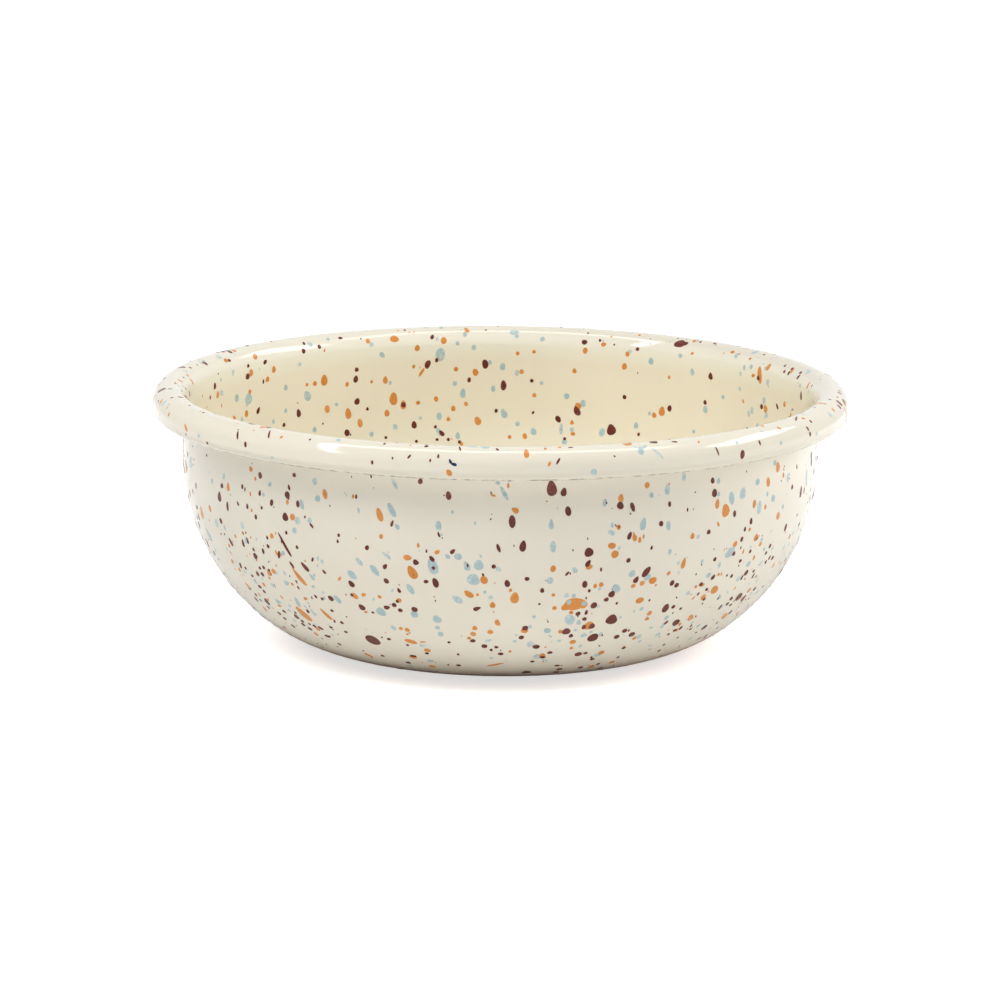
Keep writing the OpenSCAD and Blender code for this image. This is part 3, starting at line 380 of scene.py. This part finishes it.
def packed_drops(node_name, coat):
    """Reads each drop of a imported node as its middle, its long way, and half its length and width."""
    mesh = bmesh.new()
    mesh.from_mesh(nodes[node_name].data)
    bmesh.ops.remove_doubles(mesh, verts=mesh.verts[:], dist=2e-6)
    mesh.verts.index_update()
    drops = []
    already_read = set()
    for first in mesh.verts:
        if first in already_read:
            continue
        found = {first}
        edge_of_drop = [first]
        while edge_of_drop:
            vert = edge_of_drop.pop()
            linked = {edge.other_vert(vert) for edge in vert.link_edges} - found
            found |= linked
            edge_of_drop += linked
        already_read |= found
        drop = sorted(found, key=lambda vert: vert.index)
        middle = sum((vert.co for vert in drop), Vector()) / len(drop)
        facing = coat.find_nearest(middle)[1]
        aside = facing.orthogonal().normalized()
        above = facing.cross(aside)
        places = [((vert.co - middle).dot(aside), (vert.co - middle).dot(above)) for vert in drop]
        lean = math.atan2(2 * sum(x * y for x, y in places), sum(x * x - y * y for x, y in places)) / 2
        corners = len(drop) - 2
        lengths = [x * math.cos(lean) + y * math.sin(lean) for x, y in places]
        widths = [y * math.cos(lean) - x * math.sin(lean) for x, y in places]
        half_length = math.sqrt(2 * sum(length * length for length in lengths) / corners)
        half_width = math.sqrt(2 * sum(width * width for width in widths) / corners)
        drops.append((middle, aside * math.cos(lean) + above * math.sin(lean), half_length, half_width))
    mesh.free()
    return drops


def lay_drop(mesh, coat, drop, lift, chance):
    """Adds one drop to a mesh: a closed disc, wavering a little at its edge, bent onto the coat and domed."""
    middle, along, half_length, half_width = drop
    if along.z < 0:
        along = -along
    facing = coat.find_nearest(middle)[1]
    across = along.cross(facing).normalized()
    tone = chance.uniform(-1, 1)
    waver = chance.uniform(0.01, 0.07)
    turn = chance.uniform(0, math.tau)
    taper = chance.uniform(0.0, 0.3)
    length = 2 * half_length
    blank = large_blank if length > large_drop else drop_blank if length > small_drop else speck_blank
    disc = blank.copy()
    for vert in disc.verts:
        x, y, level = vert.co
        angle = math.atan2(y, x)
        edge = 1 + waver * math.cos(2 * angle + turn) + waver * 0.7 * math.cos(3 * angle - 2 * turn)
        place = middle + across * (x * half_width * edge * (1 - taper * y)) + along * (y * half_length * edge)
        on_coat, normal = coat.find_nearest(place)[:2]
        core = max(0.0, 1 - x * x - y * y)
        height = lift * (1 + drop_dome * core) if level > 0 else -drop_sink
        vert.co = on_coat + normal * height
        vert[disc.verts.layers.float["tone"]] = tone
        vert[disc.verts.layers.float["core"]] = core
    disc.to_mesh(drop_data)
    disc.free()
    mesh.from_mesh(drop_data)


def lay_drops(mesh, coat, drops, lift, chance):
    """Adds drops to a mesh, each rising so far above the coat."""
    for drop in drops:
        lay_drop(mesh, coat, drop, lift, chance)


def finish_drops(name, mesh, material, slot, *node_names):
    """Makes a piece of the drops, facing outwards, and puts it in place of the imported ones."""
    bmesh.ops.recalc_face_normals(mesh, faces=mesh.faces[:])
    piece = make_piece(name, mesh, material)
    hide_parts(*node_names)


def mist(coat, count, smallest, largest, spots, belongs, chance):
    """Scatters drops over the spots of a coat where they belong, drawn out along the way of each spot."""
    drops = []
    while len(drops) < count:
        place, along, stretch = spots(chance)
        if not belongs(place):
            continue
        half_width = smallest * (largest / smallest) ** (chance.random() ** 1.6) / 2
        facing = coat.find_nearest(place)[1]
        lean = Matrix.Rotation(chance.gauss(0, 0.35), 3, facing)
        drops.append((place, lean @ along, half_width * chance.uniform(1.0, stretch), half_width))
    return drops


def splash(node_name, coat, spots, mists, chance):
    """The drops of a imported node, then mists of more: how many, their widths, and where they belong."""
    drops = packed_drops(node_name, coat)
    for count, smallest, largest, belongs in mists:
        drops += mist(coat, count, smallest, largest, spots, belongs, chance)
    return drops


def outside_spot(chance):
    """A place on the outer wall, chosen evenly over its area, with the way up the wall there."""
    lowest = 0.0006
    highest = seam_height - 0.001
    most_area = 3
    while True:
        up = chance.uniform(lowest, highest)
        turn = chance.uniform(0, math.tau)
        out = Vector((math.cos(turn), math.sin(turn), 0))
        hit, facing = outside_coat.ray_cast(out * ray_start_outside + Vector((0, 0, up)), -out)[:2]
        area = hit.xy.length / wall_radius / max(0.2, facing.dot(out))
        if chance.random() < area / most_area:
            along = facing.cross(Vector((-out.y, out.x, 0)))
            return hit, along, 1.4 + 1.2 * max(0.0, facing.dot(out))


def inside_spot(chance):
    """A place on the inside or the rim, chosen evenly as seen from above, with the way up the wall there."""
    while True:
        side = rim_radius * math.sqrt(chance.random())
        turn = chance.uniform(0, math.tau)
        out = Vector((math.cos(turn), math.sin(turn), 0))
        tilt = chance.uniform(-0.7, 0.7)
        fall = (out * tilt - Vector((0, 0, 1))).normalized()
        start = out * side + Vector((0, 0, ray_start_above)) - out * tilt * ray_aim_below
        hit, facing = inside_coat.ray_cast(start, fall)[:2]
        if hit is not None and facing.dot(fall) < 0 and hit.z > wall_thickness:
            along = facing.cross(Vector((-out.y, out.x, 0)))
            return hit, along.normalized(), 1.2 + 0.8 * (1 - abs(facing.z))


def turn_of(place):
    """Degrees round from the front of the bowl, to the right."""
    return math.degrees(math.atan2(place.x, -place.y))


def anywhere(place):
    """True all over."""
    return True


def far_outside(place):
    """True away from the side of the wall whose drops were set one by one."""
    return not seen_left < turn_of(place) < seen_right


def far_inside(place):
    """True away from the stretches of the inside and the rim whose drops were set one by one."""
    rim_side = rim_radius - roll_radius + 0.001
    if place.xy.length > rim_side:
        return far_outside(place)
    return place.z < seen_inside_bottom or abs(turn_of(place)) < seen_inside_turn


def at_rim_ends(place):
    """True on the rim, and on the inside just below it, at the left and at the right of the bowl."""
    return place.z > rim_end_bottom and rim_end_front < abs(turn_of(place)) < rim_end_back


def along_back_rim(place):
    """True on the rim at the back of the bowl."""
    return place.z > roll_height and abs(turn_of(place)) > back_rim_turn


def low_at_sides(place):
    """True low on the wall, to the left and to the right of the front."""
    low = low_side_bottom < place.z < low_side_top
    return low and low_side_front < abs(turn_of(place)) < low_side_back


def set_drop(coat, turn, up, length, width, lean, from_axis=False):
    """One listed drop: degrees from the front, height, length, width, and degrees of lean to the right."""
    out = Matrix.Rotation(math.radians(turn), 3, "Z") @ Vector((0, -1, 0))
    start = Vector((0, 0, up)) if from_axis else out * ray_start_outside + Vector((0, 0, up))
    place, facing = coat.ray_cast(start, out if from_axis else -out)[:2]
    rise = facing.cross(Vector((-out.y, out.x, 0)))
    return place, Matrix.Rotation(math.radians(-lean), 3, facing) @ rise, length / 2, width / 2


def rim_drop(turn, up, length, width):
    """One listed drop on the side of the rim, or of the wall, that faces the bowl's axis."""
    return set_drop(inside_coat, turn, up, length, width, 0, from_axis=True)


def enamel_colour(name, deep, plain, pale, patchy=1.0):
    """Coloured enamel, less glossy than the cream. Its drops differ in tone and thin out at their edges."""
    material, shader, places = start_material(name)
    fine = grain(material, places, 0.0006, 3.0)
    mottle = rescale(material, fine, 0, 1, 0.5 - 0.5 * patchy, 0.5 + 0.5 * patchy)
    spread = rescale(material, mesh_value(material, "tone"), -1, 1, -0.2, 0.2)
    depth = work_out(material, "ADD", mottle, spread)
    thickness = work_out(material, "MULTIPLY_ADD", mesh_value(material, "core"), 0.12, depth)
    colour = fade(material, thickness, [(0.2, pale), (0.5, plain), (0.85, deep)])
    join(material, colour, shader.inputs["Base Color"])
    haze = rescale(material, mottle, 0, 1, 0.06, 0.14)
    join(material, haze, shader.inputs["Roughness"])
    shader.inputs["IOR"].default_value = 1.3
    return material


blue_enamel = enamel_colour(
    "blue_enamel", (0.385, 0.505, 0.515), (0.443, 0.560, 0.565), (0.60, 0.65, 0.60), patchy=1.9,
)
blue_chance = random.Random(11)
blue_lift = 0.000024
over_ochre_lift = 0.000050
blue_mists = [
    (150, 0.0008, 0.0022, far_outside),
    (150, 0.00025, 0.00075, anywhere),
    (70, 0.0004, 0.0013, low_at_sides),
]
blue_drops = splash("blue_drops_outside", outside_coat, outside_spot, blue_mists, blue_chance)
on_ochre = [
    set_drop(outside_coat, 12.9, 0.0238, 0.0015, 0.0011, 0),
    set_drop(outside_coat, 15.8, 0.0233, 0.0015, 0.0012, 0),
]
blue_mesh = start_drops()
lay_drops(blue_mesh, outside_coat, blue_drops, blue_lift, blue_chance)
lay_drops(blue_mesh, outside_coat, on_ochre, over_ochre_lift, blue_chance)
finish_drops("blue_splatter_outside", blue_mesh, blue_enamel, "blue_enamel", "blue_drops_outside")
blue_mists = [
    (220, 0.0008, 0.0022, far_inside),
    (120, 0.00025, 0.00075, anywhere),
    (100, 0.0004, 0.0016, at_rim_ends),
    (30, 0.0004, 0.0014, along_back_rim),
]
blue_drops = splash("blue_drops_inside", inside_coat, inside_spot, blue_mists, blue_chance)
star_arms = [
    set_drop(inside_coat, 23.6, 0.0595, 0.0018, 0.0008, 50),
    set_drop(inside_coat, 22.0, 0.0596, 0.0012, 0.0005, -35),
]
blue_on_rim = [
    rim_drop(-173, 0.0585, 0.0015, 0.0011),
    rim_drop(-116, 0.0596, 0.0020, 0.0018),
    rim_drop(-109, 0.0597, 0.0016, 0.0010),
    rim_drop(-100, 0.0597, 0.0015, 0.0009),
    rim_drop(104, 0.0567, 0.0010, 0.0012),
    rim_drop(129.5, 0.0585, 0.0016, 0.0012),
    rim_drop(177.5, 0.0590, 0.0018, 0.0023),
]
blue_mesh = start_drops()
lay_drops(blue_mesh, inside_coat, blue_drops + star_arms + blue_on_rim, blue_lift, blue_chance)
finish_drops("blue_splatter_inside", blue_mesh, blue_enamel, "blue_enamel", "blue_drops_inside")


# Ochre drops
# Warm ochre glass, the second colour on, flicked in the same way and fired with the others.
# It lies over the blue, in fewer and larger drops.
ochre_enamel = enamel_colour(
    "ochre_enamel", (0.63, 0.232, 0.042), (0.69, 0.272, 0.058), (0.75, 0.35, 0.115),
)
ochre_chance = random.Random(23)
ochre_lift = 0.000036
ochre_mists = [
    (120, 0.0008, 0.0024, far_outside),
    (120, 0.0003, 0.00075, anywhere),
    (45, 0.0004, 0.0012, low_at_sides),
]
ochre_drops = splash("ochre_drops_outside", outside_coat, outside_spot, ochre_mists, ochre_chance)
blotch_lobes = [
    set_drop(outside_coat, 12.4, 0.0226, 0.0022, 0.0020, 0),
    set_drop(outside_coat, 15.6, 0.0231, 0.0026, 0.0022, 0),
]
ochre_mesh = start_drops()
lay_drops(ochre_mesh, outside_coat, ochre_drops + blotch_lobes, ochre_lift, ochre_chance)
finish_drops("ochre_splatter_outside", ochre_mesh, ochre_enamel, "ochre_enamel", "ochre_drops_outside")
ochre_mists = [
    (200, 0.0008, 0.0024, far_inside),
    (110, 0.0003, 0.00075, anywhere),
    (25, 0.0004, 0.0015, at_rim_ends),
    (22, 0.0004, 0.0014, along_back_rim),
]
ochre_drops = splash("ochre_drops_inside", inside_coat, inside_spot, ochre_mists, ochre_chance)
ochre_on_rim = [
    rim_drop(-173.5, 0.0592, 0.0012, 0.0012),
    rim_drop(-159, 0.0581, 0.0019, 0.0023),
    rim_drop(-126, 0.0580, 0.0016, 0.0017),
    rim_drop(-117, 0.0587, 0.0012, 0.0018),
    rim_drop(99.5, 0.0578, 0.0020, 0.0012),
    rim_drop(110.5, 0.0587, 0.0015, 0.0013),
    rim_drop(131, 0.0590, 0.0010, 0.0013),
]
ochre_mesh = start_drops()
lay_drops(ochre_mesh, inside_coat, ochre_drops + ochre_on_rim, ochre_lift, ochre_chance)
finish_drops("ochre_splatter_inside", ochre_mesh, ochre_enamel, "ochre_enamel", "ochre_drops_inside")


# Brown drops
# Dark red-brown glass, the last colour on, flicked the finest: many small specks among the larger drops.
# It lies over both the others.
brown_enamel = enamel_colour(
    "brown_enamel", (0.115, 0.022, 0.015), (0.150, 0.032, 0.022), (0.215, 0.062, 0.046),
)
brown_chance = random.Random(37)
brown_lift = 0.000048
brown_mists = [
    (230, 0.0008, 0.0022, far_outside),
    (380, 0.00022, 0.00075, anywhere),
    (80, 0.0003, 0.0011, low_at_sides),
]
brown_drops = splash("brown_drops_outside", outside_coat, outside_spot, brown_mists, brown_chance)
brown_mesh = start_drops()
lay_drops(brown_mesh, outside_coat, brown_drops, brown_lift, brown_chance)
finish_drops("brown_splatter_outside", brown_mesh, brown_enamel, "brown_enamel", "brown_drops_outside")
brown_mists = [
    (170, 0.0008, 0.0022, far_inside),
    (200, 0.00022, 0.00075, anywhere),
    (70, 0.0004, 0.0014, at_rim_ends),
    (20, 0.0004, 0.0012, along_back_rim),
]
brown_drops = splash("brown_drops_inside", inside_coat, inside_spot, brown_mists, brown_chance)
brown_on_rim = [
    rim_drop(-148, 0.0591, 0.0009, 0.0012),
    rim_drop(-118, 0.0585, 0.0009, 0.0012),
    rim_drop(103, 0.0545, 0.0022, 0.0014),
    rim_drop(107, 0.0590, 0.0009, 0.0012),
    rim_drop(111, 0.0590, 0.0010, 0.0012),
    rim_drop(113, 0.0580, 0.0009, 0.0010),
    rim_drop(144, 0.0590, 0.0026, 0.0029),
]
brown_mesh = start_drops()
lay_drops(brown_mesh, inside_coat, brown_drops + brown_on_rim, brown_lift, brown_chance)
finish_drops("brown_splatter_inside", brown_mesh, brown_enamel, "brown_enamel", "brown_drops_inside")


# Rim speck
# A fleck of dark blue cobalt glass that strayed from the ground coat's bath and melted into the front of the
# rim. One small curved mark, fired in flush with the cream.
cobalt_fleck = enamel_colour(
    "cobalt_fleck", (0.010, 0.020, 0.075), (0.018, 0.034, 0.115), (0.045, 0.075, 0.19),
)
fleck_chance = random.Random(5)
fleck_lift = 0.000030
fleck_marks = [
    set_drop(inside_coat, -7.75, 0.0574, 0.0013, 0.0006, -30),
    set_drop(inside_coat, -7.15, 0.0568, 0.0014, 0.0007, -75),
]
fleck_mesh = start_drops()
lay_drops(fleck_mesh, inside_coat, fleck_marks, fleck_lift, fleck_chance)
bmesh.ops.recalc_face_normals(fleck_mesh, faces=fleck_mesh.faces[:])
make_piece("rim_fleck", fleck_mesh, cobalt_fleck)
bpy.data.meshes.remove(drop_data)


# Studio
# A white table in a white room, its colour painted a dim warm brown under and just round the bowl's foot as
# painted shade.
# Soft lamps stand high in front and all round, and low in front and at the right, to fill in under the rim. The
# gloss mirrors the room, the table and three narrow windows. The camera stands a little above the rim, well
# back.
table_drop = 0.00002
shaded_to = 0.040
lit_from = 0.056
near_bowl = 0.05
clear_of_bowl = 0.35
floor_mesh = bmesh.new()
bmesh.ops.create_grid(floor_mesh, x_segments=1, y_segments=1, size=3.0)
bmesh.ops.translate(floor_mesh, verts=floor_mesh.verts[:], vec=(0, 0, -table_drop))
floor_data = bpy.data.meshes.new("table_top")
floor_mesh.to_mesh(floor_data)
floor_mesh.free()
table_top = bpy.data.objects.new("table_top", floor_data)
bpy.context.scene.collection.objects.link(table_top)
white_table, table_shader, table_places = start_material("white_table")
table_shader.inputs["Roughness"].default_value = 0.9
table_shader.inputs["Specular IOR Level"].default_value = 0.1
table_length = add_node(white_table, "ShaderNodeVectorMath", {0: table_places}, operation="LENGTH")
from_bowl = table_length.outputs["Value"]
# Painted shade: the table's colour fades from a dim warm brown under the bowl to white clear of it, so the foot
# is shaded.
painted_shade_under_bowl = rescale(white_table, from_bowl, shaded_to, lit_from, 0, 1)
table_colour_with_painted_shade = fade(white_table, painted_shade_under_bowl, [(0.0, (0.45, 0.22, 0.10)), (1.0, (0.95, 0.95, 0.95))])
join(white_table, table_colour_with_painted_shade, table_shader.inputs["Base Color"])
seen_white = rescale(white_table, from_bowl, near_bowl, clear_of_bowl, 0.66, 0.80)
mirrored_white = rescale(white_table, from_bowl, near_bowl, clear_of_bowl, 0.02, 0.80)
ray = add_node(white_table, "ShaderNodeLightPath").outputs
mirrored = work_out(white_table, "MAXIMUM", ray["Is Glossy Ray"], ray["Is Transmission Ray"])
in_mirror = work_out(white_table, "MULTIPLY", mirrored, mirrored_white)
table_white = work_out(white_table, "MULTIPLY_ADD", ray["Is Camera Ray"], seen_white, in_mirror)
table_shader.inputs["Emission Color"].default_value = (1, 1, 1, 1)
join(white_table, table_white, table_shader.inputs["Emission Strength"])
table_top.data.materials.append(white_table)

world = bpy.data.worlds.new("white_room")
bpy.context.scene.world = world
world.use_nodes = True
room = world.node_tree.nodes["Background"]
room.inputs["Color"].default_value = (1, 1, 1, 1)
path = add_node(world, "ShaderNodeLightPath").outputs
shown = work_out(world, "MAXIMUM", path["Is Camera Ray"], path["Is Glossy Ray"])
shown_through = work_out(world, "MAXIMUM", shown, path["Is Transmission Ray"])
room_light = rescale(world, shown_through, 0, 1, 0.12, 1.0)
join(world, room_light, room.inputs["Strength"])


def soft_lamp(name, turn, rise, distance, width, depth, power, shines=True, mirrors=False, lean=0):
    """A flat soft lamp that faces the bowl, so many degrees to the right of the front and so many up."""
    lamp = bpy.data.lights.new(name, "AREA")
    lamp.shape = "RECTANGLE"
    lamp.size = width
    lamp.size_y = depth
    lamp.energy = power
    round_turn = Matrix.Rotation(math.radians(turn), 3, "Z")
    way = round_turn @ Matrix.Rotation(math.radians(-rise), 3, "X") @ Vector((0, -1, 0))
    holder = bpy.data.objects.new(name, lamp)
    holder.location = way * distance + Vector((0, 0, bowl_height / 2))
    facing = (-way).to_track_quat("-Z", "Y").to_matrix()
    holder.rotation_euler = (facing @ Matrix.Rotation(math.radians(lean), 3, "Z")).to_euler()
    holder.visible_camera = False
    holder.visible_diffuse = shines
    holder.visible_glossy = mirrors
    bpy.context.scene.collection.objects.link(holder)


def window(name, turn, rise, distance, width, depth, power, lean=0):
    """A lamp that shows only as a highlight in the gloss."""
    soft_lamp(name, turn, rise, distance, width, depth, power, shines=False, mirrors=True, lean=lean)


soft_lamp("high_front", -10, 58, 0.9, 0.5, 0.5, 3.2)
soft_lamp("high_left", -40, 65, 0.9, 0.5, 0.5, 1.9)
soft_lamp("left", -75, 45, 0.9, 0.5, 0.5, 2.4)
soft_lamp("right", 95, 30, 1.0, 0.6, 0.4, 3.7)
soft_lamp("low_right", 105, 9, 1.0, 0.6, 0.3, 2.2)
soft_lamp("low_front", 0, 12, 1.3, 1.2, 0.3, 1.6)
soft_lamp("behind", 160, 50, 1.0, 0.7, 0.5, 0.5)
window("left_window", -75, 50, 0.9, 0.07, 0.8, 1.5, lean=42)
window("right_window", 108, 40, 1.0, 0.70, 0.25, 3.3)
window("roof_window", 180, 82, 1.0, 1.1, 0.2, 3.2)

camera_rise = math.radians(11.81)
camera_distance = 1.202
camera_roll = math.radians(0.47)
aim_height = 0.0325
camera_back = camera_distance * math.cos(camera_rise)
camera_up = aim_height + camera_distance * math.sin(camera_rise)
camera_tip = Matrix.Rotation(math.pi / 2 - camera_rise, 3, "X")
camera_data = bpy.data.cameras.new("camera")
camera_data.sensor_width = 36.0
camera_data.lens = 187.6
camera = bpy.data.objects.new("camera", camera_data)
camera.location = (0, -camera_back, camera_up)
camera.rotation_euler = (camera_tip @ Matrix.Rotation(camera_roll, 3, "Z")).to_euler()
bpy.context.scene.collection.objects.link(camera)
bpy.context.scene.camera = camera
bpy.context.scene.view_settings.view_transform = "Standard"
